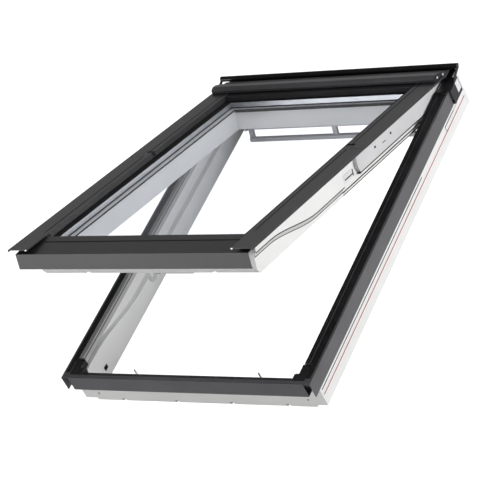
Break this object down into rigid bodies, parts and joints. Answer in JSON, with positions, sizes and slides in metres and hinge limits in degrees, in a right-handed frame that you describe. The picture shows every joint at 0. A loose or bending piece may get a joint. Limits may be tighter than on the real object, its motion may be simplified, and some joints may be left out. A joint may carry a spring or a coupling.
{
  "type": "roof window",
  "caption": "Top-hung and pivoting roof window, white moulded frame and sash under dark aluminium covers, double glazing, standing open.",
  "frame": {"origin": "middle of the frame's plan, on the underside of its lip", "axes": "+Z out of the roof, square to the frame; +Y up the slope towards the top hinge; +X to the right seen from outside"},
  "size_m": [0.81, 1.213, 0.5521],
  "materials": {
    "white_moulding": "satin white moulded rails",
    "dark_cladding": "matt dark grey powder coat",
    "black_rubber": "matt",
    "black_plastic": "fine matt",
    "steel": "zinc plated",
    "glass": "clear",
    "spacer_metal": "matt grey",
    "grey_fitting": "satin anodised"
  },
  "bodies": {
    "frame_body": {"frame": "white_moulding", "side_cladding_left": "dark_cladding", "side_cladding_right": "dark_cladding", "bottom_cladding": "dark_cladding", "side_gasket_left": "black_rubber", "side_gasket_right": "black_rubber", "bottom_gasket": "black_rubber", "corner_block_left": "black_plastic", "corner_block_right": "black_plastic", "top_casing": "dark_cladding", "casing_end_left": "dark_cladding", "casing_end_right": "dark_cladding", "cladding_clips": "black_plastic", "hinge_plate_left": "steel", "hinge_plate_right": "steel", "hinge_pins": "steel", "hinge_screws": "steel", "lock_keeps": "steel", "bolt_bushes": "black_plastic", "pivot_keep_left": "black_plastic", "pivot_keep_right": "black_plastic"},
    "arm_body": {"arm_left": "white_moulding", "arm_right": "white_moulding", "arm_gasket_left": "black_rubber", "arm_gasket_right": "black_rubber", "pivot_pins": "steel", "upper_cover_left": "dark_cladding", "upper_cover_right": "dark_cladding", "hood": "dark_cladding", "hood_bracket_left": "dark_cladding", "hood_bracket_right": "dark_cladding", "hood_screws": "steel"},
    "sash_body": {"sash": "white_moulding", "glazing_seal": "black_rubber", "inner_pane": "glass", "spacer": "spacer_metal", "edge_seal": "black_rubber", "outer_pane": "glass", "glazing_gasket": "black_rubber", "lower_cover_left": "dark_cladding", "lower_cover_right": "dark_cladding", "bottom_cover": "dark_cladding", "sash_top_cover": "dark_cladding", "sash_gasket_left": "black_rubber", "sash_gasket_right": "black_rubber", "catch_plate_left": "black_plastic", "catch_plate_right": "black_plastic", "pivot_housing_left": "black_plastic", "pivot_housing_right": "black_plastic", "vent_housing": "grey_fitting", "handle_base": "grey_fitting"},
    "bar_body": {"control_bar": "grey_fitting"},
    "lever_body": {"handle_lever": "grey_fitting"}
  },
  "joints": [
    {"name": "top_hinge", "type": "hinge", "parent": "frame_body", "child": "arm_body", "pos_m": [0, 0.561, 0.114], "axis": [-1, 0, 0], "range_deg": [-20, 25]},
    {"name": "sash_pivot", "type": "hinge", "parent": "arm_body", "child": "sash_body", "pos_m": [0, 0.06899, 0.325], "axis": [-1, 0, 0], "range_deg": [0, 120]},
    {"name": "bar_hinge", "type": "hinge", "parent": "sash_body", "child": "bar_body", "pos_m": [0, 0.47935, 0.04901], "axis": [-1, 0, 0], "range_deg": [0, 35]},
    {"name": "lever_turn", "type": "hinge", "parent": "sash_body", "child": "lever_body", "pos_m": [0, -0.46572, 0.40256], "axis": [0, 0.342, 0.9397], "range_deg": [0, 90]}
  ]
}
